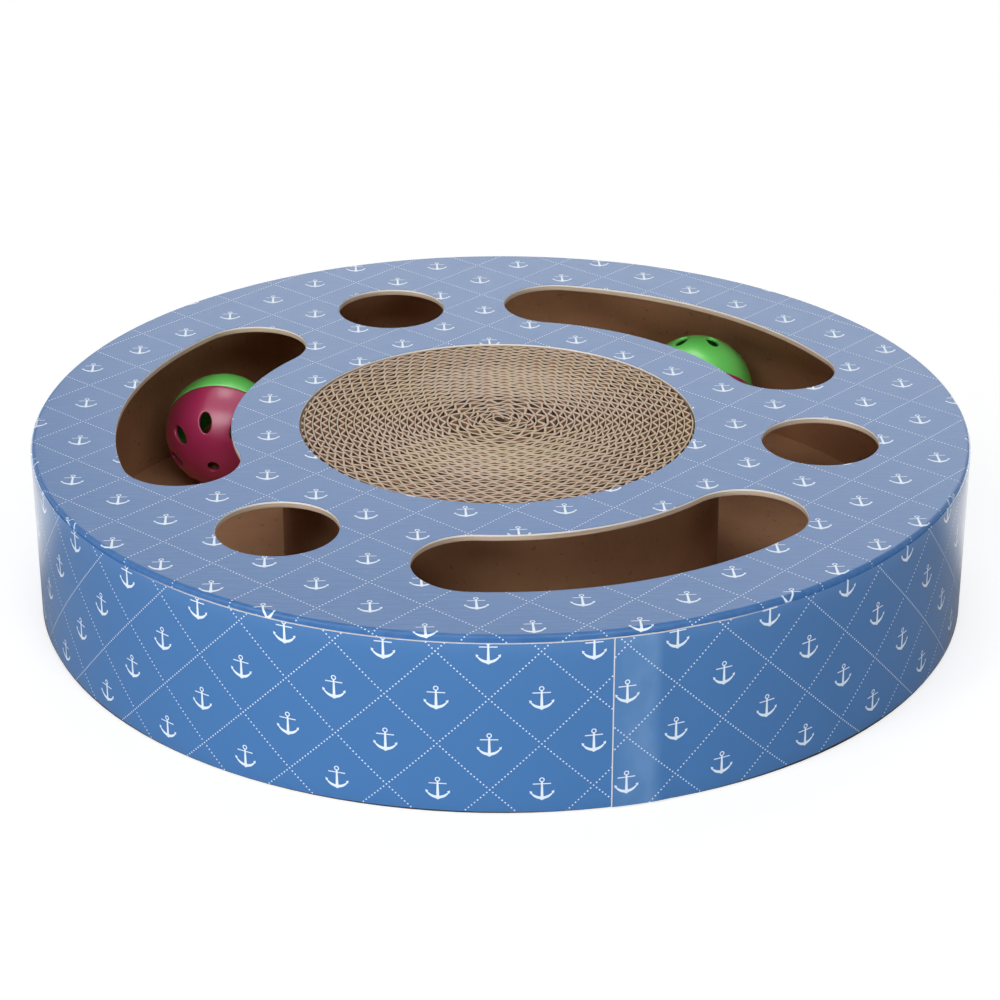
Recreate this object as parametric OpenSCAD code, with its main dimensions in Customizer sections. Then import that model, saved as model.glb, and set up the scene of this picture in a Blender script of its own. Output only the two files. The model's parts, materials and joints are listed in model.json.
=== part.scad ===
// Cat scratching drum.
// A low round drum of board in a printed paper skin. Single-face corrugated board, wound on
// edge into a spiral, fills the core and is the scratching pad. Round it runs a closed track
// where two rattling balls roll, and slots and holes in the top let a paw reach them.
// The origin is the centre of the underside, +Z is up, and lengths are in millimetres.

/* [Drum] */
// Radius of the outer wall, and of the top over its printed rim
drum_r = 165; // [155:1:190]
// Height from the floor to the printed top
drum_h = 62.5; // [56:0.5:90]
// Thickness of the base board
base_t = 3; // [2:0.5:6]
// Thickness of the outer wall
wall_t = 2; // [1.5:0.5:4]
// Thickness of the top board
top_t = 2; // [1.5:0.25:4]

/* [Printed skin] */
// Thickness of the printed sheet on the top
sheet_t = 0.35; // [0.2:0.05:0.6]
// Radius of the top's rounded rim, over the sheet
rim_round = 1.2; // [0.8:0.1:1.4]
// Thickness of the printed wrap round the side
wrap_t = 0.5; // [0.3:0.05:0.8]
// Height of the base's edge that stays bare below the wrap
wrap_lift = 0.5; // [0.3:0.1:1.8]
// Angle from +X at which the wrap's lapped end starts
lap_angle = -78.3; // [-180:0.1:180]
// Length of the lapped end
lap_l = 14; // [8:1:30]
// Length over which the lapped end comes down to the wall
lap_run = 10; // [5:1:30]

/* [Scratching pad] */
// Radius of the hole in the top over the pad
pad_hole_r = 70.25; // [60:0.25:82]
// Width of the lip round that hole, which holds the pad down
pad_lip = 5.75; // [3:0.25:8]
// Thickness of the core wall round the pad
core_t = 2.5; // [1.5:0.5:4]
// Smallest radius at which the winding can start
pad_eye_r = 3.25; // [3:0.25:8]
// Distance from turn to turn, the thickness of the single-face board
pad_pitch = 3; // [2.6:0.1:4]
// Thickness of the flat liner paper
liner_t = 0.5; // [0.3:0.05:0.7]
// Thickness of the fluted paper along the radius
flute_t = 0.5; // [0.3:0.05:0.7]
// Length of one flute along the liner
flute_l = 6.2; // [5.5:0.1:8]
// Number of strips that the fluted paper is laid in, end to end
flute_strip_count = 6; // [5:1:12]

/* [Paw openings] */
// Number of arc slots, with as many round holes between them
slot_count = 3; // [2:1:3]
// Width of an arc slot
slot_w = 40.5; // [34:0.5:42]
// Board left between the core wall and a slot
slot_land = 15.75; // [12:0.25:24]
// Angle between the centres of a slot's round ends
slot_span = 54.6; // [40:0.1:58]
// Angle by which the last slot, at the front, is shorter than the others
slot_short = 4.8; // [0:0.1:10]
// Angle from +X to the middle of the first slot
slot_angle = 51.2; // [0:0.1:120]
// Diameter of a round hole
hole_d = 40.8; // [30:0.2:42]
// Angle by which the last round hole lies nearer to the short slot
hole_turn = 1; // [0:0.1:2]
// Distance along X by which the cut-outs lie off the drum's axis
die_x = -1.2; // [-2:0.1:2]
// Distance along Y by which the cut-outs lie off the drum's axis
die_y = -1; // [-2:0.1:2]

/* [Balls] */
// Diameter of a ball, too large for the slots
ball_d = 44; // [42.5:0.5:48]
// Thickness of a ball's shell
ball_wall = 1.4; // [1.2:0.1:2]
// Height of the lip that joins a ball's two halves
ball_lap = 1.5; // [1:0.25:3]
// Number of oval vents in a half shell
vent_count = 8; // [5:1:9]
// Length of an oval vent
vent_l = 8.2; // [5:0.2:10]
// Width of an oval vent
vent_w = 4.8; // [3:0.2:6]
// Angle from a half shell's pole to the middle of its vents
vent_angle = 47; // [42:1:52]
// Diameter of the round vent at a half shell's pole
pole_vent_d = 4.4; // [3:0.2:6]
// Gap between the first ball and the outer wall
ball_a_gap = 12.2; // [2:0.2:30]
// Angle from +X to the first ball
ball_a_angle = 146; // [120:1:240]
// Tilt of the first ball's green pole from upright
ball_a_tilt = 75; // [0:1:180]
// Gap between the second ball and the outer wall
ball_b_gap = 4.8; // [2:0.2:30]
// Angle from +X to the second ball
ball_b_angle = 55; // [-60:1:80]
// Tilt of the second ball's green pole from upright
ball_b_tilt = 44; // [0:1:180]

/* [Bells] */
// Diameter of a bell's round body
bell_d = 15; // [10:0.5:17]
// Thickness of a bell's sheet metal
bell_wall = 0.5; // [0.4:0.05:0.6]
// Width of the flange that the two bell halves are crimped at
bell_flange = 0.9; // [0.7:0.1:1.2]
// Tilt of a bell from upright
bell_tilt = 25; // [0:1:30]
// Width of the slit in a bell's lower half
slit_w = 1.2; // [0.8:0.1:2]
// Diameter of the holes at the slit's ends
slit_end_d = 2.6; // [2.2:0.1:3.2]
// Angle from the bottom of a bell to the slit's ends
slit_angle = 38; // [30:1:50]
// Diameter of the loose pellet in a bell
pellet_d = 4; // [3:0.25:5]

/* [Clearances] */
// Room round the pad inside the core, and above it under the top
pad_clear = 0.15; // [0.1:0.05:0.5]
// Glue line between the fluted paper and the liner
glue_gap = 0.06; // [0.05:0.01:0.1]
// Room between pieces that lie loose on one another
loose_clear = 0.3; // [0.2:0.05:0.5]
// Room in the lip of a ball and in the crimp of a bell
seam_clear = 0.05; // [0.04:0.01:0.1]

/* [Hidden] */
$fn = 96;

// How far a cutting solid runs past the face that it cuts
over = 1;

// Heights of the seats
top_z = drum_h - sheet_t;
seat_z = top_z - top_t;

// Radii of the rings, from the outside in
wall_in_r = drum_r - wall_t;
core_in_r = pad_hole_r + pad_lip;
core_out_r = core_in_r + core_t;
slot_pitch_r = core_out_r + slot_land + slot_w / 2;
pad_out_r = core_in_r - pad_clear;

// The winding: a spiral of straight chords, as many to every turn
turn_rings = 24;
ring_step = 360 / turn_rings;
pad_turns = floor((pad_out_r - liner_t / 2 - pad_eye_r) / pad_pitch);
liner_start_r = pad_out_r - liner_t / 2 - pad_turns * pad_pitch;
growth = pad_pitch / 360;
pad_h = seat_z - pad_clear - base_t;

// The fluted paper fills the room between two turns of the liner
flute_low = liner_t / 2 + glue_gap + flute_t / 2;
flute_high = pad_pitch - flute_low;
flute_start_r = liner_start_r + pad_pitch / 2;
flute_end_angle = 360 * (pad_turns - 1);
half_wave = flute_l / 2;
strip_waves = floor(flute_run(flute_end_angle) / half_wave / flute_strip_count);
wave_count = strip_waves * flute_strip_count;

// The balls and what they hold
ball_r = ball_d / 2;
ball_in_r = ball_r - ball_wall;
ball_lip_r = ball_in_r + ball_wall / 2;
ball_z = base_t + loose_clear + ball_r;
vent_sides = 24;
bell_r = bell_d / 2;
bell_in_r = bell_r - bell_wall;
flange_r = bell_r + bell_flange;
crimp_r = flange_r + seam_clear + bell_wall;
crimp_fold = bell_flange * 2 / 3;
bell_drop = ball_in_r - loose_clear - bell_r;
pellet_r = pellet_d / 2;
pellet_drop = bell_in_r - loose_clear - pellet_r;

// Each ball as angle round the drum, gap to the wall, tilt, heading of the green pole, and twist
ball_a = [ball_a_angle, ball_a_gap, ball_a_tilt, 84, 35];
ball_b = [ball_b_angle, ball_b_gap, ball_b_tilt, 84, 30];

// A point at a radius and an angle
function at(r, angle) = [r * cos(angle), r * sin(angle)];

// Radius of the liner's middle at an angle counted from the start of the winding
function spiral_r(angle) = liner_start_r + growth * angle;

// How much nearer to the axis a chord lies than the arc over it
function chord(angle) = cos(ring_step / 2) / cos(angle % ring_step - ring_step / 2);

// Length of fluted board from the start of the winding to an angle, and the angle at a length
function flute_run(angle) = (flute_start_r * angle + growth * angle * angle / 2) * PI / 180;
function flute_angle(run) =
    (sqrt(flute_start_r * flute_start_r + 2 * growth * run * 180 / PI) - flute_start_r) / growth;

// One face of the liner, as far from its middle as the offset says
function liner_face(offset) = [
    for (i = [0 : pad_turns * turn_rings]) at(spiral_r(i * ring_step) + offset, i * ring_step)
];

// A point on a face of the fluted paper, which goes from the liner to the next turn and back
function flute_point(i, offset) =
    let (angle = flute_angle(i * half_wave))
    let (height = i % 2 == 0 ? flute_low : flute_high)
        at((spiral_r(angle) + height + offset) * chord(angle), angle);

// One face of one strip of the fluted paper
function flute_face(strip, offset) = [
    for (i = [strip * strip_waves : (strip + 1) * strip_waves - 1]) flute_point(i, offset)
];

// A list from its last entry to its first
function reversed(list) = [for (i = [len(list) - 1 : -1 : 0]) list[i]];

// Where a ball's centre lies
function ball_centre(ball) =
    let (orbit_r = wall_in_r - ball[1] - ball_r)
        [orbit_r * cos(ball[0]), orbit_r * sin(ball[0]), ball_z];

// Least gap of the liner to itself, from each point to the points near it one turn on
liner_inside = liner_face(-liner_t / 2);
liner_outside = liner_face(liner_t / 2);
liner_gap = min([
    for (i = [1 : len(liner_inside) - turn_rings - 2], k = [-1 : 1])
        norm(liner_inside[i + turn_rings + k] - liner_outside[i])
]);
echo(str("pad_liner turns: ", pad_turns, ", least gap to itself: ", liner_gap, " mm"));

// Least gap of the fluted paper to itself, measured the same way
flute_gap = min([
    for (i = [0 : wave_count])
        let (next = round(flute_run(flute_angle(i * half_wave) + 360) / half_wave))
            for (k = [-1 : 1]) if (next + k <= wave_count)
                norm(flute_point(next + k, -flute_t / 2) - flute_point(i, flute_t / 2))
]);
echo(str("pad_fluting flutes: ", wave_count / 2, ", least gap to itself: ", flute_gap, " mm"));

// An upright tube that stands on the origin's plane
module tube(r_out, r_in, h) {
    difference() {
        cylinder(r = r_out, h = h);
        translate([0, 0, -over]) cylinder(r = r_in, h = h + 2 * over);
    }
}

// A disc with a rounded upper rim, whose lower face lies as deep below its seat as asked
module rounded_disc(r, t, round_r, below = 0) {
    translate([0, 0, seat_z])
        rotate_extrude() {
            translate([0, -below]) square([r - round_r, t + below]);
            translate([0, -below]) square([r, t - round_r + below]);
            translate([r - round_r, t - round_r]) circle(r = round_r);
        }
}

// A slot bent round the middle of the cut-outs, with round ends
module arc_slot(span, h) {
    rotate([0, 0, -span / 2])
        rotate_extrude(angle = span)
            translate([slot_pitch_r - slot_w / 2, 0]) square([slot_w, h]);
    for (side = [-1, 1])
        rotate([0, 0, side * span / 2])
            translate([slot_pitch_r, 0, 0]) cylinder(d = slot_w, h = h);
}

// Everything that is die-cut through the top, from below the board to above the sheet
module die_cuts() {
    h = top_t + sheet_t + 2 * over;
    last = slot_count - 1;
    translate([die_x, die_y, seat_z - over]) {
        cylinder(r = pad_hole_r, h = h);
        for (k = [0 : last])
            rotate([0, 0, slot_angle + k * 360 / slot_count]) {
                arc_slot(slot_span - (k == last ? slot_short : 0), h);
                rotate([0, 0, 180 / slot_count - (k == last ? hole_turn : 0)])
                    translate([slot_pitch_r, 0, 0]) cylinder(d = hole_d, h = h);
            }
    }
}

// The flat board that the drum stands on
module base_board() {
    color("saddlebrown") cylinder(r = drum_r, h = base_t);
}

// The board tube between the base and the top
module outer_wall() {
    color("sienna")
        translate([0, 0, base_t]) tube(drum_r, wall_in_r, seat_z - base_t);
}

// The board tube that holds the pad and is the track's inner wall
module core_wall() {
    color("sienna")
        translate([0, 0, base_t]) tube(core_out_r, core_in_r, seat_z - base_t);
}

// The flat paper of the wound board, one strip from the eye to the core wall
module pad_liner() {
    color("tan")
        translate([0, 0, base_t]) linear_extrude(height = pad_h)
            polygon(concat(liner_outside, reversed(liner_inside)));
}

// The fluted paper glued to the liner, wavy strips end to end between its turns
module pad_fluting() {
    color("burlywood")
        for (strip = [0 : flute_strip_count - 1])
            translate([0, 0, base_t]) linear_extrude(height = pad_h)
                polygon(concat(
                    flute_face(strip, flute_t / 2),
                    reversed(flute_face(strip, -flute_t / 2))
                ));
}

// The die-cut board that closes the track and laps over the pad's edge
module top_board() {
    color("tan")
        difference() {
            rounded_disc(drum_r - sheet_t, top_t, rim_round - sheet_t);
            die_cuts();
        }
}

// The printed sheet on the top board, turned down over its rim
module top_sheet() {
    color("cornflowerblue")
        difference() {
            rounded_disc(drum_r, top_t + sheet_t, rim_round);
            rounded_disc(drum_r - sheet_t, top_t, rim_round - sheet_t, over);
            die_cuts();
        }
}

// The printed wrap round the wall and the base's edge, with its lapped end
module side_wrap() {
    wrap_r = drum_r + wrap_t;
    wrap_h = seat_z - wrap_lift;
    lap_end = lap_l / wrap_r * 180 / PI;
    run_end = (lap_l + lap_run) / wrap_r * 180 / PI;
    steps = 8;
    color("steelblue")
        translate([0, 0, wrap_lift]) {
            tube(wrap_r, drum_r, wrap_h);
            rotate([0, 0, lap_angle]) linear_extrude(height = wrap_h)
                polygon(concat(
                    [for (i = [0 : steps]) at(wrap_r + wrap_t, i / steps * lap_end)],
                    [for (i = [steps : -1 : 0]) at(drum_r + wrap_t / 2, i / steps * run_end)]
                ));
        }
}

// Carries a piece made about the origin to a ball's place
module in_ball(ball) {
    translate(ball_centre(ball)) children();
}

// Turns a piece of a shell the way its ball lies
module turned(ball) {
    rotate([0, ball[2], ball[3]]) rotate([0, 0, ball[4]]) children();
}

// The part of a round shell between two heights
module shell_zone(r_out, r_in, low, high) {
    difference() {
        intersection() {
            sphere(r = r_out);
            translate([-r_out, -r_out, low]) cube([2 * r_out, 2 * r_out, high - low]);
        }
        sphere(r = r_in);
    }
}

// The cutters of a half shell's vents: a ring of ovals and a round one at the pole
module vents() {
    cut_h = ball_wall + 2 * over;
    for (i = [0 : vent_count - 1])
        rotate([0, vent_angle, i * 360 / vent_count])
            translate([0, 0, ball_in_r - over]) linear_extrude(height = cut_h)
                polygon([
                    for (k = [0 : vent_sides - 1])
                        [vent_l / 2 * cos(k * 360 / vent_sides), vent_w / 2 * sin(k * 360 / vent_sides)]
                ]);
    translate([0, 0, ball_in_r - over]) cylinder(d = pole_vent_d, h = cut_h);
}

// The green half shell, rebated inside for the other half's lip
module green_half(ball) {
    color("limegreen")
        in_ball(ball) turned(ball)
            difference() {
                shell_zone(ball_r, ball_in_r, 0, ball_r);
                shell_zone(ball_lip_r + seam_clear, ball_in_r - over, -over, ball_lap + seam_clear);
                vents();
            }
}

// The magenta half shell, with the lip that goes into the green half
module magenta_half(ball) {
    color("mediumvioletred")
        in_ball(ball) turned(ball)
            difference() {
                union() {
                    shell_zone(ball_r, ball_in_r, -ball_r, 0);
                    shell_zone(ball_lip_r, ball_in_r, -over, ball_lap);
                }
                mirror([0, 0, 1]) vents();
            }
}

// Carries a piece of a bell to the bottom of its ball
module in_bell(ball) {
    in_ball(ball) translate([0, 0, -bell_drop]) rotate([0, bell_tilt, ball[3]]) children();
}

// The plain upper half of a bell, with a flat flange
module bell_upper(ball) {
    color("silver")
        in_bell(ball)
            difference() {
                union() {
                    shell_zone(bell_r, bell_in_r, 0, bell_r);
                    cylinder(r = flange_r, h = bell_wall);
                }
                sphere(r = bell_in_r);
            }
}

// The lower half of a bell, slit for the sound, with its rim crimped over the flange
module bell_lower(ball) {
    fold_z = bell_wall + seam_clear;
    slit_l = 2 * bell_r * sin(slit_angle);
    color("silver")
        in_bell(ball)
            difference() {
                union() {
                    shell_zone(bell_r, bell_in_r, -bell_r, 0);
                    rotate_extrude() polygon([
                        [bell_in_r + bell_wall / 2, -bell_wall],
                        [crimp_r, -bell_wall],
                        [crimp_r, fold_z + bell_wall],
                        [flange_r - crimp_fold, fold_z + bell_wall],
                        [flange_r - crimp_fold, fold_z],
                        [flange_r + seam_clear, fold_z],
                        [flange_r + seam_clear, 0],
                        [bell_in_r + bell_wall / 2, 0]
                    ]);
                }
                translate([-slit_l / 2, -slit_w / 2, -bell_r - over]) cube([slit_l, slit_w, bell_r]);
                for (side = [-1, 1])
                    rotate([0, 180 + side * slit_angle, 0])
                        translate([0, 0, bell_in_r - over]) cylinder(d = slit_end_d, h = bell_wall + 2 * over);
            }
}

// The loose pellet that makes a bell ring
module bell_pellet(ball) {
    color("gray")
        in_ball(ball) translate([0, 0, -bell_drop - pellet_drop]) sphere(r = pellet_r);
}

base_board();
outer_wall();
core_wall();
pad_liner();
pad_fluting();
top_board();
top_sheet();
side_wrap();
green_half(ball_a);  // ball_a_green_half
magenta_half(ball_a);  // ball_a_magenta_half
bell_upper(ball_a);  // bell_a_upper
bell_lower(ball_a);  // bell_a_lower
bell_pellet(ball_a);  // bell_a_pellet
green_half(ball_b);  // ball_b_green_half
magenta_half(ball_b);  // ball_b_magenta_half
bell_upper(ball_b);  // bell_b_upper
bell_lower(ball_b);  // bell_b_lower
bell_pellet(ball_b);  // bell_b_pellet
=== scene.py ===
import json
import math

import bpy
import numpy as np
from mathutils import Matrix, Vector
from mathutils.geometry import tessellate_polygon


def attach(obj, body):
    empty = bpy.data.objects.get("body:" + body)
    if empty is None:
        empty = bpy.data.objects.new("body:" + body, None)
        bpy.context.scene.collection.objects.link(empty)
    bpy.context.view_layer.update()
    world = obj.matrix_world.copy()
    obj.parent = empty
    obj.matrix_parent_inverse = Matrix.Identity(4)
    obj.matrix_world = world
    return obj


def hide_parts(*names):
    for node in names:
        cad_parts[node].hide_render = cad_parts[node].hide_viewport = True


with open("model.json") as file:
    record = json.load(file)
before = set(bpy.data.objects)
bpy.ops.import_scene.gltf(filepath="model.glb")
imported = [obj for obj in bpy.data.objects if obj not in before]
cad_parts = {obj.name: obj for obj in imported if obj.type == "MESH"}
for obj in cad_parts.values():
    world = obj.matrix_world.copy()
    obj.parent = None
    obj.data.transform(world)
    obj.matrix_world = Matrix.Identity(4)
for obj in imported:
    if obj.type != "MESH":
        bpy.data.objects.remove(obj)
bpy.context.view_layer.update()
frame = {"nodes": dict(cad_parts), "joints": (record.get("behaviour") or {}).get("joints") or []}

# Base, outer wall and core wall.
# Plain brown chipboard: a disc that the drum stands on, and two tubes glued upright on it.
# The pressed fibres, dark flecks and cloudy patches of the board are in its finish, and along the base's
# outer edge a painted shade of the gap under the wrap.

nodes = frame["nodes"]
mm = 0.001
base_edge_shade_r = 164.6 * mm


class Wire:
    """One socket of a node tree. Arithmetic on it adds Math nodes, and node() adds any other node."""

    def __init__(self, tree, socket):
        self.tree = tree
        self.socket = socket

    def node(self, kind, settings=(), sockets=(), out=0):
        made = self.tree.nodes.new(kind)
        for name, value in dict(settings).items():
            setattr(made, name, value)
        for key, value in dict(sockets).items():
            if isinstance(value, Wire):
                self.tree.links.new(value.socket, made.inputs[key])
            else:
                made.inputs[key].default_value = value
        return Wire(self.tree, made.outputs[out])

    def maths(self, operation, *values):
        return self.node("ShaderNodeMath", {"operation": operation}, enumerate(values or (self,)))

    def into(self, socket):
        self.tree.links.new(self.socket, socket)

    def ease(self, low, high):
        """0 below low and 1 above high, smooth between them. With low above high it falls."""
        return self.node("ShaderNodeMapRange", {"interpolation_type": "SMOOTHSTEP"},
                         {"Value": self, "From Min": low, "From Max": high})

    def blend(self, first, second):
        """The first colour where this is 0 and the second where it is 1."""
        return self.node("ShaderNodeMix", {"data_type": "RGBA"}, {0: self, 6: first, 7: second}, 2)

    def noise(self, scale, detail=3.0, stretch=(1, 1, 1)):
        """Cloudy values round a half at this place, with so many to the metre."""
        place = self.node("ShaderNodeVectorMath", {"operation": "MULTIPLY"}, {0: self, 1: stretch})
        return self.node("ShaderNodeTexNoise", {}, {"Vector": place, "Scale": scale, "Detail": detail})

    def split(self):
        return [self.node("ShaderNodeSeparateXYZ", {}, {0: self}, k) for k in range(3)]

    def length(self, other):
        return (self * self + other * other).maths("SQRT")

    def __add__(self, other):
        return self.maths("ADD", self, other)

    def __sub__(self, other):
        return self.maths("SUBTRACT", self, other)

    def __rsub__(self, other):
        return self.maths("SUBTRACT", other, self)

    def __mul__(self, other):
        return self.maths("MULTIPLY", self, other)

    def __truediv__(self, other):
        return self.maths("DIVIDE", self, other)

    def __rtruediv__(self, other):
        return self.maths("DIVIDE", other, self)

    __radd__ = __add__
    __rmul__ = __mul__


def ink(red, green, blue):
    """A colour given as it looks on a screen, 0 to 255, as the shader takes it."""
    parts = [c / 255 for c in (red, green, blue)]
    return [c / 12.92 if c < 0.04045 else ((c + 0.055) / 1.055) ** 2.4 for c in parts] + [1.0]


def new_finish(name):
    """A material, its shader's sockets, and the place on the piece."""
    material = bpy.data.materials.new(name)
    material.use_nodes = True
    tree = material.node_tree
    look = tree.nodes["Principled BSDF"].inputs
    place = Wire(tree, tree.nodes.new("ShaderNodeTexCoord").outputs["Object"])
    return material, look, place


def rough_surface(look, height, depth, strength):
    """Raises the surface by a height field, as deep as asked."""
    bump = height.node("ShaderNodeBump", {}, {"Strength": strength, "Distance": depth, "Height": height})
    bump.into(look["Normal"])


def chipboard(name, pale, dark, edge_shade_r=1.0):
    """Pressed brown board: cloudy, with fine fibres and scattered dark flecks. Beyond a radius it is painted
    dark, a painted shade of the gap under the wrap; the radius lies outside the drum unless one is given."""
    material, look, place = new_finish(name)
    cloud = place.noise(30, 4).ease(0.3, 0.7)
    fibre = place.noise(900, 4, (1, 1, 0.35))
    fleck = place.noise(420, 1).ease(0.69, 0.75)
    colour = (cloud * 0.6 + fibre * 0.5 - 0.05).blend(dark, pale)
    x, y = place.split()[:2]
    # Painted shade: past the radius the board turns dark, as in the shadowed gap under the wrap's lower edge.
    painted_edge_shade = x.length(y).ease(edge_shade_r - 1 * mm, edge_shade_r)
    flecks_and_edge_shade = place.maths("MAXIMUM", fleck * 0.3, painted_edge_shade)
    flecks_and_edge_shade.blend(colour, ink(40, 28, 22)).into(look["Base Color"])
    (0.78 + fibre * 0.2).into(look["Roughness"])
    rough_surface(look, fibre, 0.2 * mm, 0.35)
    return material


def dress(node, material):
    """Gives a piece that keeps its CAD shape its finish."""
    nodes[node].data.materials.clear()
    nodes[node].data.materials.append(material)


dress("base_board", chipboard("base_board", ink(204, 157, 118), ink(176, 129, 94), base_edge_shade_r))
dress("outer_wall", chipboard("wall_board", ink(188, 140, 102), ink(160, 114, 80)))
# The core wall's board is darker than the outer wall's, partly a painted shade of the deep track round it.
dress("core_wall", chipboard("core_board", ink(164, 122, 88), ink(138, 98, 68)))

# Scratching pad.
# Single-face corrugated board, a flat liner paper with a fluted paper glued to it, is cut into a
# long strip and wound on edge into a spiral that fills the core, its cut edges facing up.

wind_start_r = 3.6 * mm
wind_pitch = 2.92 * mm
wind_end_r = 75.6 * mm
wind_low, wind_high = 3.0 * mm, 60.0 * mm
liner_paper, liner_high, liner_step = 0.52 * mm, wind_high - 0.25 * mm, 1.1 * mm
flute_paper, flute_high = 0.66 * mm, wind_high - 0.2 * mm
flute_length, flute_steps = 6.1 * mm, 12
flute_peak = 0.87
eye_turns = 0.85
pad_hole_r = 70.25 * mm
die_middle = (-1.2 * mm, -1.0 * mm)
# Each pair is the radii between which a fault of the winding sets in or fades.
drift_fades = (72 * mm, 30 * mm)
kinks_fade = (22 * mm, 14 * mm)
loose_starts, loose_fades = (11 * mm, 20 * mm), (48 * mm, 21 * mm)
worn_starts, worn_fades = (20 * mm, 25 * mm), (54 * mm, 44 * mm)


def new_tree(name, **inputs):
    """An empty geometry tree with named inputs, their wires, and its output socket."""
    tree = bpy.data.node_groups.new(name, "GeometryNodeTree")
    for label, kind in inputs.items():
        tree.interface.new_socket(label.replace("_", " "), in_out="INPUT", socket_type="NodeSocket" + kind)
    tree.interface.new_socket("Geometry", in_out="OUTPUT", socket_type="NodeSocketGeometry")
    entry = tree.nodes.new("NodeGroupInput")
    wires = {label: Wire(tree, entry.outputs[label.replace("_", " ")]) for label in inputs}
    return tree, wires, tree.nodes.new("NodeGroupOutput").inputs[0]


def grow(name, tree, mesh=None, **values):
    """Runs a geometry tree on a mesh and keeps the result as a plain mesh."""
    piece = bpy.data.objects.new(name, mesh or bpy.data.meshes.new(name))
    bpy.context.scene.collection.objects.link(piece)
    modifier = piece.modifiers.new(name, "NODES")
    modifier.node_group = tree
    for item in tree.interface.items_tree:
        label = item.name.replace(" ", "_")
        if item.in_out == "INPUT" and label in values:
            modifier[item.identifier] = values[label]
    graph = bpy.context.evaluated_depsgraph_get()
    made = bpy.data.meshes.new_from_object(piece.evaluated_get(graph), depsgraph=graph)
    piece.modifiers.clear()
    piece.data = made
    made.name = name
    return piece


def winding_tree():
    """A paper strip on edge along a spiral, straight or in waves, with the unevenness of hand winding."""
    tree, given, result = new_tree(
        "winding", Start_radius="Float", Pitch="Float", Run="Float", Step="Float", Wave_length="Float",
        Wave_height="Float", Thickness="Float", Low="Float", High="Float", Warp="Float", Loose="Float",
        Swell="Float", Uneven="Float", Ragged="Float", Finish="Material")
    start = given["Start_radius"]
    index = start.node("GeometryNodeInputIndex")
    run = index * given["Step"]
    growth = given["Pitch"] / math.tau
    angle = ((start * start + 2 * growth * run).maths("SQRT") - start) / growth

    def along(scale):
        """Uneven values along the strip, with so many to the metre."""
        return run.node("ShaderNodeTexNoise", {"noise_dimensions": "1D"},
                        {"W": run, "Scale": scale, "Detail": 1.0})

    phase = run * math.tau / given["Wave_length"] + 2 * along(35.0) + along(130.0)
    wave = (flute_peak * phase.maths("SINE")).maths("ARCSINE") / math.asin(flute_peak)
    radius = start + growth * angle + wave * given["Wave_height"]
    middle = (given["Low"] + given["High"]) / 2
    point = start.node("ShaderNodeCombineXYZ", {}, {
        0: radius * angle.maths("COSINE"), 1: radius * angle.maths("SINE"), 2: middle})
    line = start.node("GeometryNodeMeshLine", {}, {
        "Count": given["Run"] / given["Step"], "Offset": (0, 0, 0)})
    path = start.node("GeometryNodeMeshToCurve", {}, {0: line})
    path = start.node("GeometryNodeSetPosition", {}, {"Geometry": path, "Position": point})
    path = start.node("GeometryNodeStoreNamedAttribute", {}, {
        "Geometry": path, "Name": "stands", "Value": (along(16.0) - 0.5) * given["Uneven"]})
    path = start.node("GeometryNodeSetCurveNormal", {"mode": "Z_UP"}, {"Curve": path})
    section = start.node("GeometryNodeCurvePrimitiveQuadrilateral", {}, {
        "Width": given["Thickness"], "Height": given["High"] - given["Low"]})
    strip = start.node("GeometryNodeCurveToMesh", {}, {
        "Curve": path, "Profile Curve": section, "Fill Caps": True})
    place = start.node("GeometryNodeInputPosition")
    x, y, z = place.split()
    strip = start.node("GeometryNodeStoreNamedAttribute", {}, {
        "Geometry": strip, "Name": "depth", "Value": given["High"] - z})
    flat = start.node("ShaderNodeCombineXYZ", {}, {0: x, 1: y, 2: 0.0})

    def across(scale):
        """Three uneven values for a place on the pad, with so many to the metre."""
        cloud = start.node("ShaderNodeTexNoise", {}, {"Vector": flat, "Scale": scale, "Detail": 1.0}, "Color")
        return [value - 0.5 for value in cloud.split()]

    drift_x, drift_y, drift_z = across(45.0)
    kink_x, kink_y = across(170.0)[:2]
    away = x.length(y)
    room = away.ease(*drift_fades) * given["Warp"]
    kinked = away.ease(*kinks_fade) * given["Warp"] * 1.3
    loose = away.ease(*loose_starts) * away.ease(*loose_fades) * given["Loose"] / away
    from_die = (x - die_middle[0]).length(y - die_middle[1])
    in_hole = from_die.ease(pad_hole_r - 0.1 * mm, pad_hole_r - 0.6 * mm)
    stands = start.node("GeometryNodeInputNamedAttribute", {}, {"Name": "stands"})
    lift = in_hole * (given["Swell"] + stands) - flat.noise(150, 2) * given["Ragged"]
    move = start.node("ShaderNodeCombineXYZ", {}, {
        0: drift_x * room + kink_x * kinked + x * loose,
        1: drift_y * room + kink_y * kinked + y * loose,
        2: drift_z * given["Ragged"] + lift * z.ease(wind_high - 5 * mm, wind_high)})
    strip = start.node("GeometryNodeSetPosition", {}, {"Geometry": strip, "Offset": move})
    strip = start.node("GeometryNodeRealizeInstances", {}, {0: strip})
    start.node("GeometryNodeSetMaterial", {}, {"Geometry": strip, "Material": given["Finish"]}).into(result)
    return tree


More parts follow.
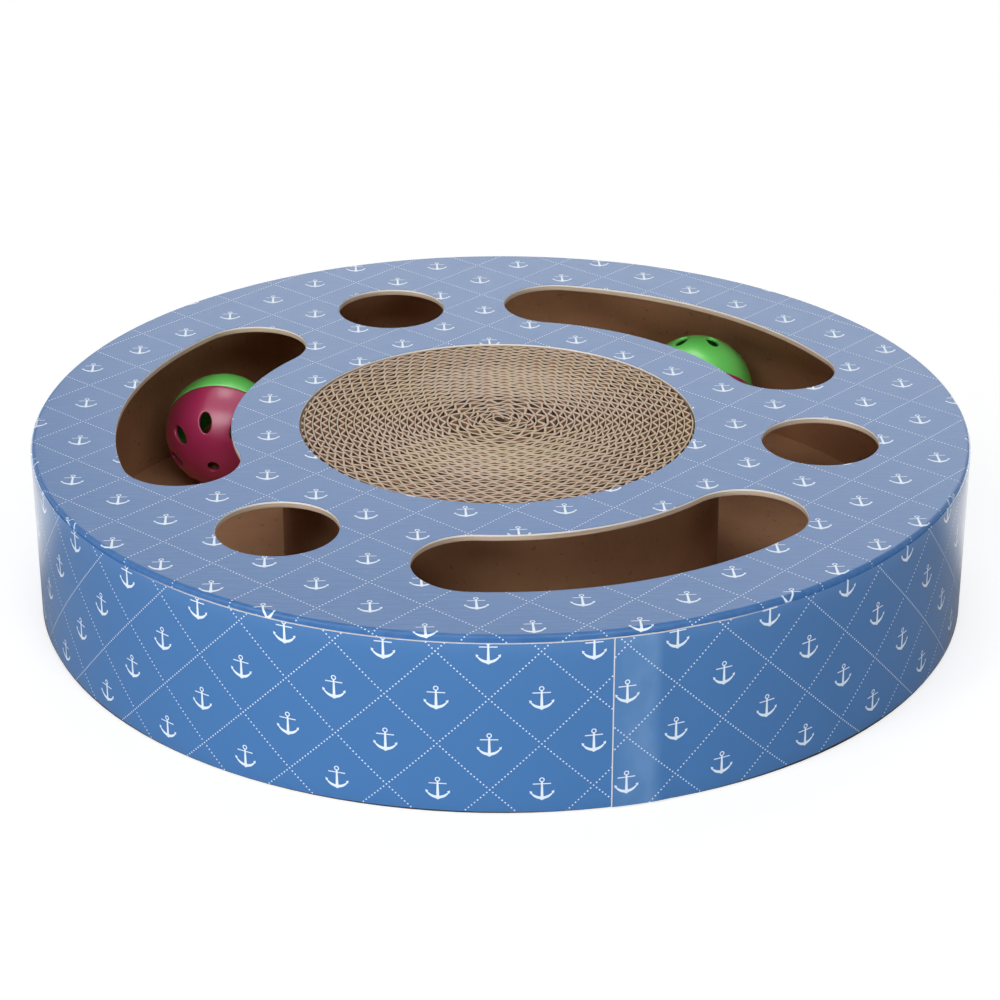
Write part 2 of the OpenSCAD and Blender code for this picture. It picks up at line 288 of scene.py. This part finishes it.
def pad_paper(name, pale, warm, shade, deep):
    """Kraft paper on edge: pale fuzzy cut edges, more frayed half-way out, and walls below in the paper's
    brown painted darker the deeper they go, as painted shade in the cells.
    """
    material, look, place = new_finish(name)
    depth = place.node("ShaderNodeAttribute", {"attribute_name": "depth"}, {}, "Fac")
    cloud = place.noise(22, 3, (1, 1, 0)).ease(0.35, 0.65)
    fuzz = place.noise(1400, 3)
    x, y = place.split()[:2]
    away = x.length(y)
    worn = away.ease(*worn_fades) * away.ease(*worn_starts)
    edge = (depth - worn * 0.14 * mm + (fuzz - 0.5) * 0.1 * mm).ease(0.16 * mm, 0.04 * mm)
    cut = (fuzz * 0.35).blend(cloud.blend(pale, warm), shade)
    # Painted shade: below the cut edge the walls darken with depth, standing in for the shade down in the
    # narrow cells.
    wall = depth.ease(0.3 * mm, 2.4 * mm).blend(shade, deep)
    edge.blend(wall, cut).into(look["Base Color"])
    (0.8 + fuzz * 0.2).into(look["Roughness"])
    rough_surface(look, fuzz, 0.15 * mm, 0.4)
    return material


def spiral_run(start, turns):
    """Length of strip in so many turns from a start radius."""
    return math.tau * turns * (start + wind_pitch * turns / 2)


winding = winding_tree()
cut_tones = ink(222, 201, 182), ink(223, 203, 174)
# The walls' colours are partly the paper's brown and partly painted shade of the cells, far darker on the
# liner than on the fluting.
liner_finish = pad_paper("liner_paper", *cut_tones, ink(66, 46, 33), ink(58, 41, 29))
flute_finish = pad_paper("flute_paper", *cut_tones, ink(136, 101, 75), ink(110, 80, 59))
eye_r = wind_start_r - eye_turns * wind_pitch
turns = (wind_end_r - eye_r) / wind_pitch
common = {"Pitch": wind_pitch, "Wave_length": flute_length, "Low": wind_low,
          "Warp": 2.4 * mm, "Loose": 2.0 * mm, "Swell": 2.3 * mm, "Uneven": 0.3 * mm, "Ragged": 0.35 * mm}
liner = grow("pad_liner_paper", winding, Start_radius=eye_r, Run=spiral_run(eye_r, turns),
             Step=liner_step, Wave_height=0.0, Thickness=liner_paper,
             High=liner_high, Finish=liner_finish, **common)
flute_r = eye_r + wind_pitch / 2
wave_height = (wind_pitch - liner_paper - flute_paper) / 2
flutes = grow("pad_flute_paper", winding, Start_radius=flute_r, Run=spiral_run(flute_r, turns - 1),
              Step=flute_length / flute_steps, Wave_height=wave_height, Thickness=flute_paper,
              High=flute_high, Finish=flute_finish, **common)
for piece, node in ((liner, "pad_liner"), (flutes, "pad_fluting")):
    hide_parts(node)
    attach(piece, "drum")

# Top board.
# A disc of light brown board, die-cut with the pad's hole, three arc slots and three round holes.
# Its cut edges show a white upper ply over brown ones, a little crushed where the blade came out below.

rim_r = 165.0 * mm
rim_round = 1.2 * mm
sheet = 0.35 * mm
seat_z, board_z, top_z = 60.15 * mm, 62.15 * mm, 62.5 * mm
slot_mid_r = 114.5 * mm
slot_half = 20.25 * mm
hole_r = 20.4 * mm
slot_degrees = ((51.2, 54.6), (171.2, 54.6), (291.2, 49.8))
slots = [(math.radians(middle), math.radians(span)) for middle, span in slot_degrees]
hole_middles = [math.radians(middle) for middle in (111.2, 231.2, 350.2)]
rim_sides, pad_hole_sides, hole_sides = 480, 240, 96
slot_outer_sides, slot_inner_sides, slot_end_sides = 56, 40, 36


def arc(centre, radius, start, end, count):
    turn = np.linspace(start, end, count, endpoint=False)
    return np.stack([centre[0] + radius * np.cos(turn), centre[1] + radius * np.sin(turn)], 1)


def circle(radius, count, centre=(0, 0)):
    return arc(centre, radius, 0, math.tau, count)


def on_die(angle):
    """The place at the slots' radius at an angle round the middle of the cut-outs."""
    return die_middle[0] + slot_mid_r * math.cos(angle), die_middle[1] + slot_mid_r * math.sin(angle)


def slot_outline(middle, span, grown):
    """An arc slot with round ends, larger all round by as much as it has grown."""
    start, end = middle - span / 2, middle + span / 2
    return np.concatenate([
        arc(die_middle, slot_mid_r + slot_half + grown, start, end, slot_outer_sides),
        arc(on_die(end), slot_half + grown, end, end + math.pi, slot_end_sides),
        arc(die_middle, slot_mid_r - slot_half - grown, end, start, slot_inner_sides),
        arc(on_die(start), slot_half + grown, start + math.pi, start + math.tau, slot_end_sides),
    ])


def cut_outlines(grown):
    """Outlines of everything that is die-cut through the top."""
    pad_hole = circle(pad_hole_r + grown, pad_hole_sides, die_middle)
    holes = [circle(hole_r + grown, hole_sides, on_die(angle)) for angle in hole_middles]
    return [pad_hole] + [slot_outline(*slot, grown) for slot in slots] + holes


def fillet(radius, steps=6):
    """Runs of a quarter round from flat to upright: how far out and how far down at each step."""
    turn = [math.pi / 2 * k / steps for k in range(steps + 1)]
    return [(radius * math.sin(a), radius * (1 - math.cos(a))) for a in turn]


def add_piece(name, mesh, crease=35):
    """A piece made of a mesh, smooth where its faces meet at less than the crease's angle."""
    mesh.shade_smooth()
    mesh.set_sharp_from_angle(angle=math.radians(crease))
    piece = bpy.data.objects.new(name, mesh)
    bpy.context.scene.collection.objects.link(piece)
    return piece


def die_cut_plate(name, rim, cut, printed_rim, printed_cut):
    """A closed round plate with die-cut holes and level faces. Rim is radius and height from the upper face
    round to the lower one, cut is growth and height in the same order, and the first bands of each are
    printed, as the upper face is."""
    points, faces, printed, level = [], [], [], []

    def ring(outline, z):
        points.extend((x, y, z) for x, y in outline)
        return list(range(len(points) - len(outline), len(points)))

    def wall(upper, lower, outwards, inked):
        for k in range(len(upper)):
            n = (k + 1) % len(upper)
            quad = [upper[k], lower[k], lower[n], upper[n]]
            faces.append(quad if outwards else quad[::-1])
            printed.append(inked)
            level.append(False)

    def cap(loops, upwards, inked):
        order = [k for loop in loops for k in loop]
        for corner in tessellate_polygon([[Vector(points[k]) for k in loop] for loop in loops]):
            a, b, c = (order[k] for k in corner)
            rise = np.cross(np.subtract(points[b], points[a]), np.subtract(points[c], points[a]))[2]
            faces.append([a, b, c] if (rise > 0) == upwards else [a, c, b])
            printed.append(inked)
            level.append(True)

    rim_rings = [ring(circle(r, rim_sides), z) for r, z in rim]
    cut_rings = [[ring(outline, z) for outline in cut_outlines(g)] for g, z in cut]
    for k in range(len(rim) - 1):
        wall(rim_rings[k], rim_rings[k + 1], True, float(k < printed_rim))
    for k in range(len(cut) - 1):
        for upper, lower in zip(cut_rings[k], cut_rings[k + 1]):
            wall(upper, lower, False, float(k < printed_cut))
    cap([rim_rings[0]] + cut_rings[0], True, 1.0)
    cap([rim_rings[-1]] + cut_rings[-1], False, 0.0)
    mesh = bpy.data.meshes.new(name)
    mesh.from_pydata(points, [], faces)
    mesh.attributes.new("printed", "FLOAT", "FACE").data.foreach_set("value", printed)
    mesh.update()
    piece = add_piece(name, mesh)
    mesh.polygons.foreach_set("use_smooth", [not flat for flat in level])
    return piece


def ply_board(name, pale, dark):
    """Board seen on its cut edge: thin plies along it, a white one on top, and a fuzz of torn fibres."""
    material, look, place = new_finish(name)
    ply = place.noise(1, 2, (60, 60, 2600))
    fibre = place.noise(1100, 3)
    cloud = place.noise(35, 2).ease(0.3, 0.7)
    frayed_z = place.split()[2] + (fibre - 0.5) * 0.1 * mm
    lined = frayed_z.ease(board_z - 0.35 * mm, board_z - 0.25 * mm)
    colour = (ply.ease(0.3, 0.7) * 0.55 + fibre * 0.3 + cloud * 0.15).blend(dark, pale)
    lined.blend(colour, ink(236, 232, 226)).into(look["Base Color"])
    (0.82 + fibre * 0.15).into(look["Roughness"])
    rough_surface(look, ply * 0.6 + fibre * 0.4, 0.12 * mm, 0.5)
    return material


board_r = rim_r - sheet
board_round = rim_round - sheet
board_rim = [(board_r - board_round + out, board_z - down) for out, down in fillet(board_round)]
board_plies = [(0.0, 0.0), (0.03, 0.35), (-0.02, 0.7), (0.04, 1.1), (0.0, 1.5), (0.06, 1.8), (0.22, 2.0)]
board_cut = [(out * mm, board_z - down * mm) for out, down in board_plies]
top_board = die_cut_plate("die_cut_board", board_rim + [(board_r, seat_z)], board_cut, 0, 0)
top_board.data.materials.append(ply_board("cut_board", ink(198, 180, 160), ink(160, 138, 117)))
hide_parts("top_board")
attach(top_board, "drum")

# Printed top sheet.
# White paper, printed blue with white anchors in a dotted diamond lattice under a satin film, is
# glued on the board, die-cut with it and turned down over its rim.

print_white = ink(226, 239, 252)
paper_white = ink(230, 224, 217)
# The paler blue of the top film's cloudy haze, and of the painted reflection beside the side's seam.
haze_and_reflection_blue = ink(104, 146, 194)
dots_to_a_side = 17
dot_r = 0.245
ink_spread = 0.07
sheet_turn = math.radians(3.53)
sheet_anchor = (-11.57, -77.7)
sheet_diagonal = 32.93
sheet_lip = 0.28 * mm


def anchor_lattice(x, y, across, along):
    """How much white ink lies at a place on the print, given in millimetres from the middle of an anchor.
    Anchors stand in every diamond, and a row of round dots runs along every diamond's side."""
    p = x / across
    q = y / along
    rise, fall = p + q, p - q
    u = rise - rise.maths("ROUND")
    v = fall - fall.maths("ROUND")
    side = math.hypot(across, along) / 2

    def row_of_dots(near, step):
        beside = (0.5 - near.maths("ABSOLUTE")) * side
        count = (step + 0.5) * dots_to_a_side
        return beside.length((count - count.maths("ROUND")) * side / dots_to_a_side) - dot_r

    def both(first, second):
        return x.maths("MAXIMUM", first, second)

    dots = x.maths("MINIMUM", row_of_dots(u, fall), row_of_dots(v, rise))
    # The anchor, in millimetres from its middle, with its left half like its right one. The value of
    # each shape is below 0 inside its outline. Three straight lines bound a fluke.
    ax = ((u + v) * across / 2).maths("ABSOLUTE")
    ay = (u - v) * along / 2
    line = 0.17
    ring_up, ring_r = 3.33, 0.68
    stock_up, stock_half = 1.88, 2.85
    shank_down, shank_half, shank_wide, shank_taper = 0.25, 2.95, 0.36, 0.034
    arms_up, arms_r, arms_down = 0.08, 3.83, 0.9
    bite_up, bite_r = 1.65, 4.4
    crown_slope, crown_tip, crown_down = 0.6, 4.15, 3.0
    ring = (ax.length(ay - ring_up) - ring_r).maths("ABSOLUTE") - line
    stock = both(ax - stock_half, (ay - stock_up).maths("ABSOLUTE") - line)
    shank = both(ax + shank_taper * ay - shank_wide, (ay + shank_down).maths("ABSOLUTE") - shank_half)
    bow = both(ax.length(ay - arms_up) - arms_r, bite_r - ax.length(ay - bite_up))
    arms = both(bow, ay + arms_down)
    crown = both(crown_slope * ax - ay - crown_tip, ay + crown_down)
    barb = both(0.928 * ay - 0.371 * ax + 2.02, 0.986 * ax - 0.164 * ay - 3.95)
    fluke = both(barb, 1.38 - 0.707 * (ax + ay))
    shape = dots
    for part in (ring, stock, shank, arms, crown, fluke):
        shape = x.maths("MINIMUM", shape, part)
    return shape.ease(ink_spread, -ink_spread)


def printed_paper(look, white, blue, haze_and_reflection):
    """Ink on white paper: the lattice in white, the blue ground paler where hazed (beside the side's seam, a
    painted reflection), and bare paper on the cut edges.
    """
    inked = white.node("ShaderNodeAttribute", {"attribute_name": "printed"}, {}, "Fac")
    ground = haze_and_reflection.blend(blue, haze_and_reflection_blue)
    inked.blend(paper_white, white.blend(ground, print_white)).into(look["Base Color"])


satin, look, place = new_finish("printed_top")
x, y, z = place.split()
radius = x.length(y)
unrolled = (radius + top_z - z) / radius / mm
away_x = x * unrolled - sheet_anchor[0]
away_y = y * unrolled - sheet_anchor[1]
along_x = away_x * math.cos(sheet_turn) + away_y * math.sin(sheet_turn)
along_y = away_y * math.cos(sheet_turn) - away_x * math.sin(sheet_turn)
streak = place.noise(110, 3, (1, 7, 1))
printed_paper(look, anchor_lattice(along_x, along_y, sheet_diagonal, sheet_diagonal),
              ink(52, 101, 159), place.noise(25, 2) * 0.15 + streak.ease(0.35, 0.65) * 0.14)
(0.32 + streak * 0.14).into(look["Roughness"])
look["IOR"].default_value = 1.32
rough_surface(look, streak, 0.2 * mm, 0.35)

sheet_rim = [(rim_r - rim_round + out, top_z - down) for out, down in fillet(rim_round, 8)]
sheet_hem = [(rim_r, seat_z), (board_r, seat_z)]
sheet_cut = [(sheet_lip - out, top_z - down) for out, down in fillet(sheet_lip, 4)] + [(0.0, board_z)]
top_sheet = die_cut_plate("printed_top_sheet", sheet_rim + sheet_hem + board_rim[::-1], sheet_cut,
                          len(sheet_rim), 2)
top_sheet.data.materials.append(satin)
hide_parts("top_sheet")
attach(top_sheet, "drum")

# Printed side wrap.
# One long strip of the same printed paper under a gloss film, glued round the wall. Its left end
# laps over its right one, so a thin white edge of paper stands along the seam and round the top.

wrap = 0.5 * mm
wrap_low, wrap_high = 0.3 * mm, 60.15 * mm
end_edge, high_edge, low_edge = 0.3 * mm, 0.14 * mm, 0.1 * mm
edge_share = 0.94
lap_angle = math.radians(-77.97)
lap_flat, lap_down = 14.0 * mm, 24.0 * mm
lap_under = 13.0 * mm
lap_rise, lap_rise_run = 0.3 * mm, 40 * mm
# Bare paper shows on the upper edge round bare_middle, and ends where the cosine falls to bare_cosine.
bare_middle, bare_cosine, bare_fade = -1.684, 0.766, 0.117
side_rise, low_dip, edge_power = 0.9 * mm, 0.5 * mm, 8
climb_sine, climb_cosine, print_slide = 1.66, 1.54, 1.1 * mm
wrap_diagonals = (32.68, 32.4)
wrap_anchor = (20.95, 25.1)


def wrap_strip():
    """The strip as a closed mesh, with its length along the wall and its height as a UV map. It is wound
    a little aslant, so its print climbs and its upper edge stands higher at the sides."""
    wrap_turn = math.tau * (rim_r + wrap)
    runs = np.concatenate([
        [0, end_edge], np.linspace(1 * mm, lap_down, 24), np.linspace(lap_down, wrap_turn, 501)[1:],
        np.linspace(wrap_turn, wrap_turn + lap_under, 9)[1:]])
    heights = np.concatenate([
        [wrap_low], np.linspace(wrap_low + low_edge, wrap_high - high_edge, 13), [wrap_high]])
    rows = len(heights)
    angles = lap_angle + runs / (rim_r + wrap)
    bare = np.clip((np.cos(angles - bare_middle) - bare_cosine) / bare_fade, 0, 1)
    settle = np.clip((runs - lap_flat) / (lap_down - lap_flat), 0, 1)
    lifted = (1 - settle * settle * (3 - 2 * settle)) * wrap
    dip = low_dip * (1 + np.sin(5 * angles + 2.2) * np.sin(2 * angles + 0.4))
    rise = side_rise * np.cos(angles) ** 2 + lap_rise * np.clip(1 - runs / lap_rise_run, 0, 1)
    wound = runs / wrap_turn * math.tau
    climb = (climb_sine * np.sin(wound) + climb_cosine * (1 - np.cos(wound))) * mm
    slant = (climb_sine * np.cos(wound) + climb_cosine * np.sin(wound)) * mm * math.tau / wrap_turn
    slide = -print_slide * np.sin(wound)
    points, faces, printed, strip_uv = [], [], [], []

    def sheet_points(thickness):
        start = len(points)
        for angle, lift, up, low in zip(angles, lifted, rise, dip):
            for k, z in enumerate(heights):
                r = rim_r + lift + (thickness if 0 < k < rows - 1 else thickness * edge_share)
                share = z / wrap_high
                bent = z + up * share ** edge_power + low * (1 - share) ** edge_power
                points.append((r * math.cos(angle), r * math.sin(angle), bent))
        return start

    def face(corners, inked):
        faces.append(corners)
        printed.append(inked)
        for c in corners:
            i, k = divmod(c % half, rows)
            z = heights[k]
            strip_uv.append((runs[i] - slide[i] + slant[i] * (z - wrap_anchor[1] * mm), z - climb[i]))

    inner = sheet_points(0.0)
    half = len(points)
    outer = sheet_points(wrap)
    for i in range(len(runs) - 1):
        for k in range(rows - 1):
            a, b = i * rows + k, (i + 1) * rows + k
            inked = 0.0 if i == 0 else 1.0 if k < rows - 2 else 1 - bare[i]
            face([outer + a, outer + b, outer + b + 1, outer + a + 1], inked)
            face([inner + a, inner + a + 1, inner + b + 1, inner + b], 0.0)
        a, b = i * rows, (i + 1) * rows
        face([inner + a, inner + b, outer + b, outer + a], 0.0)
        a, b = a + rows - 1, b + rows - 1
        face([inner + a, outer + a, outer + b, inner + b], 1 - bare[i])
    last = (len(runs) - 1) * rows
    for k in range(rows - 1):
        face([inner + k, outer + k, outer + k + 1, inner + k + 1], 0.0)
        a = last + k
        face([inner + a, inner + a + 1, outer + a + 1, outer + a], 0.0)
    mesh = bpy.data.meshes.new("printed_side_wrap")
    mesh.from_pydata(points, [], faces)
    mesh.attributes.new("printed", "FLOAT", "FACE").data.foreach_set("value", printed)
    mesh.uv_layers.new(name="strip").data.foreach_set("uv", [c for uv in strip_uv for c in uv])
    mesh.update()
    return mesh


gloss, look, place = new_finish("printed_side")
strip = place.node("ShaderNodeUVMap", {"uv_map": "strip"})
run, height = strip.split()[:2]
# Painted reflection: beside the seam, where the end laps over, the print is painted paler and cloudy,
# standing in for a soft light reflected in the film.
lap_reflection_band = run.ease(17 * mm, 12.5 * mm) * run.ease(-6 * mm, 12 * mm)
haze_and_reflection = lap_reflection_band * place.noise(90, 3, (1, 1, 0.5)).ease(0.1, 0.8)
printed_paper(look, anchor_lattice(run / mm - wrap_anchor[0], height / mm - wrap_anchor[1], *wrap_diagonals),
              ink(68, 119, 177), haze_and_reflection)
(0.07 + place.noise(70, 3) * 0.08).into(look["Roughness"])
rough_surface(look, place.noise(18, 2), 0.6 * mm, 0.12)
side_wrap = add_piece("printed_side_wrap", wrap_strip())
side_wrap.data.materials.append(gloss)
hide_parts("side_wrap")
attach(side_wrap, "drum")

# Rolling balls.
# Each is two moulded plastic half shells, green and magenta, pressed together over a lip. A ring of
# eight oval vents and a round one at the pole are moulded through each half, with rounded edges.

ball_r = 22.0 * mm
ball_wall = 1.4 * mm
lip_high, lip_inset = 1.5 * mm, 0.1 * mm
vents = 8
vent_long, vent_wide = 8.2 * mm, 4.8 * mm
vent_from_pole = math.radians(47)
pole_vent_r = 2.2 * mm
vent_edge = 0.35 * mm
seam_edge = 0.16 * mm
shell_crease = math.radians(50)
around, rings_out = 64, 10
quarter, eighth = around // 4, around // 8


def on_sphere(points, radius):
    return points / np.linalg.norm(points, axis=-1, keepdims=True) * radius


def vent_loop(grown, radius):
    """One vent's oval on a sphere of the radius, larger all round by as much as it has grown."""
    turn = np.arange(around) / around * math.tau
    u = (vent_long / 2 + grown) * np.cos(turn)
    v = (vent_wide / 2 + grown) * np.sin(turn)
    w = np.sqrt(radius * radius - u * u - v * v)
    c, s = math.cos(vent_from_pole), math.sin(vent_from_pole)
    return np.stack([u * c + w * s, v, w * c - u * s], 1)


def sector_border(radius):
    """The border of one vent's share of the half shell: the seam, two meridians and the pole vent's edge."""
    pole = math.asin((pole_vent_r + vent_edge) / radius)
    seam = math.pi / 2 - seam_edge / radius
    half = math.pi / vents
    across = np.linspace(-half, half, quarter, endpoint=False)
    down = np.linspace(pole, seam, quarter, endpoint=False)
    lengthways = np.concatenate([np.full(quarter, seam), down[::-1] + down[1] - down[0],
                                 np.full(quarter, pole), down])
    sideways = np.concatenate([across, np.full(quarter, half), -across, np.full(quarter, -half)])
    border = np.stack([np.sin(lengthways) * np.cos(sideways), np.sin(lengthways) * np.sin(sideways),
                       np.cos(lengthways)], 1) * radius
    return np.roll(border, -eighth, axis=0)


def half_shell_sector(name, lipped):
    """An eighth of a half shell with its pole up: both skins, the vent, and the joint with the other half."""
    inner_r = ball_r - ball_wall
    lip_r = inner_r + ball_wall / 2
    share = np.linspace(0, 1, rings_out + 1)
    border, oval = sector_border(ball_r), vent_loop(vent_edge, ball_r)
    loops = [on_sphere(border * (1 - s) + oval * s, ball_r) for s in share]
    loops += [vent_loop(vent_edge - out, ball_r - down) for out, down in fillet(vent_edge, 4)[1:]]
    loops += [vent_loop(vent_edge - out, inner_r + down) for out, down in fillet(vent_edge, 3)[::-1]]
    border, oval = sector_border(inner_r), loops[-1]
    loops += [on_sphere(oval * (1 - s) + border * s, inner_r) for s in share[1:]]
    points = [tuple(p) for loop in loops for p in loop]
    faces = []
    for k in range(len(loops) - 1):
        for i in range(around):
            n = (i + 1) % around
            faces.append([k * around + i, k * around + n, (k + 1) * around + n, (k + 1) * around + i])
    last = (len(loops) - 1) * around
    seam = [(i - eighth) % around for i in range(quarter + 1)]
    pole = [(i - eighth + 2 * quarter) % around for i in range(quarter + 1)]

    def join(upper, lower):
        for k in range(quarter):
            faces.append([upper[k + 1], upper[k], lower[k], lower[k + 1]])

    def hem(edge, profile):
        """Closes an edge of the sector from the outer skin to the inner one along radius and height."""
        previous = edge
        for r, z in profile:
            current = []
            for i in edge:
                p = np.array(points[i][:2])
                x, y = p / np.linalg.norm(p) * r
                points.append((x, y, z))
                current.append(len(points) - 1)
            join(previous, current)
            previous = current
        join(previous, [last + i for i in edge])

    lip_z = -lip_high if lipped else lip_high
    hem(seam, [(ball_r - seam_edge, 0), (lip_r, 0), (lip_r, lip_z), (inner_r + lip_inset, lip_z)])
    outer_z, inner_z = (math.sqrt(r * r - pole_vent_r ** 2) for r in (ball_r, inner_r))
    rounds = [(pole_vent_r + vent_edge - out, outer_z - down) for out, down in fillet(vent_edge, 4)[1:]]
    hem(pole, rounds + [(pole_vent_r, inner_z + vent_edge)])
    mesh = bpy.data.meshes.new(name)
    mesh.from_pydata(points, [], faces)
    return mesh


def vent_ring_tree():
    """Turns one sector round the pole as often as there are vents, and welds the sectors together."""
    tree, given, result = new_tree("vent_ring", Sector="Geometry", Count="Int", Finish="Material")
    sector = given["Sector"]
    flecks_and_edge_shade = sector.node("GeometryNodeMeshLine", {}, {"Count": given["Count"], "Offset": (0, 0, 0)})
    turn = sector.node("GeometryNodeInputIndex") * math.tau / given["Count"]
    aim = sector.node("ShaderNodeCombineXYZ", {}, {2: turn})
    turned = sector.node("FunctionNodeEulerToRotation", {}, {0: aim})
    ring = sector.node("GeometryNodeInstanceOnPoints", {}, {
        "Points": flecks_and_edge_shade, "Instance": sector, "Rotation": turned})
    ring = sector.node("GeometryNodeRealizeInstances", {}, {0: ring})
    ring = sector.node("GeometryNodeMergeByDistance", {}, {"Geometry": ring, "Distance": 0.01 * mm})
    sector.node("GeometryNodeSetMaterial", {}, {"Geometry": ring, "Material": given["Finish"]}).into(result)
    return tree


def moulded_plastic(name, body, deep):
    """Glossy moulded plastic: an even colour with faint flow clouds and a slightly uneven shine."""
    material, look, place = new_finish(name)
    flow = place.noise(55, 3).ease(0.25, 0.75)
    flow.blend(deep, body).into(look["Base Color"])
    (0.32 + place.noise(260, 2) * 0.14).into(look["Roughness"])
    rough_surface(look, place.noise(420, 2), 0.05 * mm, 0.3)
    look["Coat Weight"].default_value = 1.0
    look["Coat Roughness"].default_value = 0.27
    return material


plastics = {"green": moulded_plastic("green_plastic", ink(136, 255, 126), ink(122, 250, 112)),
            "magenta": moulded_plastic("magenta_plastic", ink(208, 56, 112), ink(196, 48, 102))}
vent_ring = vent_ring_tree()
ball_lies = {"a": (75, 84, 35), "b": (46, 84, 20)}
for key, (tilt, heading, twist) in ball_lies.items():
    centre = next(j["pos_m"] for j in frame["joints"] if j["name"] == f"ball_{key}_roll")
    lie = (Matrix.Translation(centre) @ Matrix.Rotation(math.radians(heading), 4, "Z")
           @ Matrix.Rotation(math.radians(tilt), 4, "Y") @ Matrix.Rotation(math.radians(twist), 4, "Z"))
    for side in plastics:
        name = f"ball_{key}_{side}_shell"
        sector = half_shell_sector(name, side == "magenta")
        shell = grow(name, vent_ring, sector, Count=vents, Finish=plastics[side])
        if side == "magenta":
            shell.data.transform(Matrix.Diagonal((1, 1, -1, 1)))
            shell.data.flip_normals()
        shell.data.transform(lie)
        shell.data.shade_smooth()
        shell.data.set_sharp_from_angle(angle=shell_crease)
        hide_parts(f"ball_{key}_{side}_half")
        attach(shell, f"ball_{key}")

# Bells.
# A small sheet-steel bell lies loose in each ball: a plain upper half, a slit lower half crimped
# over it, and a steel pellet that rattles inside. They keep their CAD shapes.

plated, look, place = new_finish("bell_steel")
drawn = place.noise(300, 3, (1, 1, 5))
dull = place.noise(140, 3).ease(0.45, 0.7)
dull.blend(ink(205, 200, 190), ink(160, 150, 136)).into(look["Base Color"])
(0.22 + drawn * 0.16 + dull * 0.15).into(look["Roughness"])
look["Metallic"].default_value = 1.0
rough_surface(look, drawn, 0.04 * mm, 0.2)
for key in ball_lies:
    for part in ("upper", "lower", "pellet"):
        dress(f"bell_{key}_{part}", plated)

# Studio.
# The drum stands on a pale seamless floor that runs to white. Two soft boxes stand low at its left and
# right, a wide one hangs over its front, one stands behind it and a small one hangs above it.

floor_reach, floor_z = 6.0, -0.3 * mm
floor_lift = 0.68
white_from = (0.22, 0.4)
mirror_white_from, mirror_white_behind = (0.2, 0.4), (-0.015, 0.04)
plain_white = (1, 1, 1, 1)
sky_light = 0.02
lamp_aim = Vector((0, 0, 0.04))
camera_place, camera_dip = (0.0, -0.9093, 0.4609), 25.361

floor_mesh = bpy.data.meshes.new("floor")
floor_corners = ((-1, -1), (1, -1), (1, 1), (-1, 1))
floor_points = [(x * floor_reach, y * floor_reach, floor_z) for x, y in floor_corners]
floor_mesh.from_pydata(floor_points, [], [(0, 1, 2, 3)])
floor = bpy.data.objects.new("floor", floor_mesh)
bpy.context.scene.collection.objects.link(floor)


def ray(start, kind):
    return start.node("ShaderNodeLightPath", {}, {}, kind)


def mirrored(start):
    """1 for what is seen by way of gloss or glass."""
    return start.maths("MAXIMUM", ray(start, "Is Glossy Ray"), ray(start, "Is Transmission Ray"))


pale, look, place = new_finish("pale_floor")
look["Roughness"].default_value = 0.9
look["Specular IOR Level"].default_value = 0.1
grain = place.noise(200, 2)
grain.blend(ink(182, 182, 182), ink(178, 178, 178)).into(look["Base Color"])
x, y = place.split()[:2]
tree = pale.node_tree
away = x.length(y)
camera_ray = ray(place, "Is Camera Ray")
beside = place.maths("MAXIMUM", away.ease(*mirror_white_from), y.ease(*mirror_white_behind))
white_part = place.maths("MAXIMUM", away.ease(*white_from) * camera_ray, beside * mirrored(place))
lit = Wire(tree, tree.nodes["Principled BSDF"].outputs[0])
lift = place.node("ShaderNodeEmission", {}, {"Color": plain_white, "Strength": camera_ray * floor_lift})
near = place.node("ShaderNodeAddShader", {}, {0: lit, 1: lift})
glow = place.node("ShaderNodeEmission", {}, {"Color": plain_white, "Strength": 1.0})
sweep = place.node("ShaderNodeMixShader", {}, {0: white_part, 1: near, 2: glow})
sweep.into(tree.nodes["Material Output"].inputs["Surface"])
floor_mesh.materials.append(pale)

world = bpy.data.worlds.new("sky")
world.use_nodes = True
bpy.context.scene.world = world
tree = world.node_tree
sky = Wire(tree, tree.nodes["Background"].outputs[0])
tree.nodes["Background"].inputs["Strength"].default_value = sky_light
tree.nodes["Background"].inputs["Color"].default_value = plain_white
white = sky.node("ShaderNodeBackground", {}, {"Color": plain_white, "Strength": 1.0})
shown = sky.maths("MAXIMUM", ray(sky, "Is Camera Ray"), mirrored(sky))
backdrop = sky.node("ShaderNodeMixShader", {}, {0: shown, 1: sky, 2: white})
backdrop.into(tree.nodes["World Output"].inputs["Surface"])


def soft_box(name, place, width, height, power):
    lamp = bpy.data.lights.new(name, "AREA")
    lamp.shape = "RECTANGLE"
    lamp.size = width
    lamp.size_y = height
    lamp.energy = power
    holder = bpy.data.objects.new(name, lamp)
    bpy.context.scene.collection.objects.link(holder)
    holder.location = place
    holder.rotation_mode = "QUATERNION"
    holder.rotation_quaternion = (lamp_aim - Vector(place)).to_track_quat("-Z", "Y")


soft_box("left_box", (-1.2, -1.0, 0.37), 0.55, 0.55, 11.6)
soft_box("right_box", (0.66, -1.42, 0.37), 0.55, 0.55, 7.3)
soft_box("front_box", (-0.13, -1.06, 1.23), 2.0, 0.7, 14.5)
soft_box("back_box", (0.37, 1.41, 0.7), 1.8, 0.5, 11.0)
soft_box("over_box", (0.0, 0.5, 1.56), 0.55, 0.55, 3.0)

camera = bpy.data.cameras.new("camera")
camera.lens = 100.38
camera.sensor_width = 36.0
camera.shift_x = -0.00065
holder = bpy.data.objects.new("camera", camera)
bpy.context.scene.collection.objects.link(holder)
holder.location = camera_place
holder.rotation_euler = (math.radians(90 - camera_dip), 0, 0)
bpy.context.scene.camera = holder
bpy.context.scene.view_settings.view_transform = "Standard"
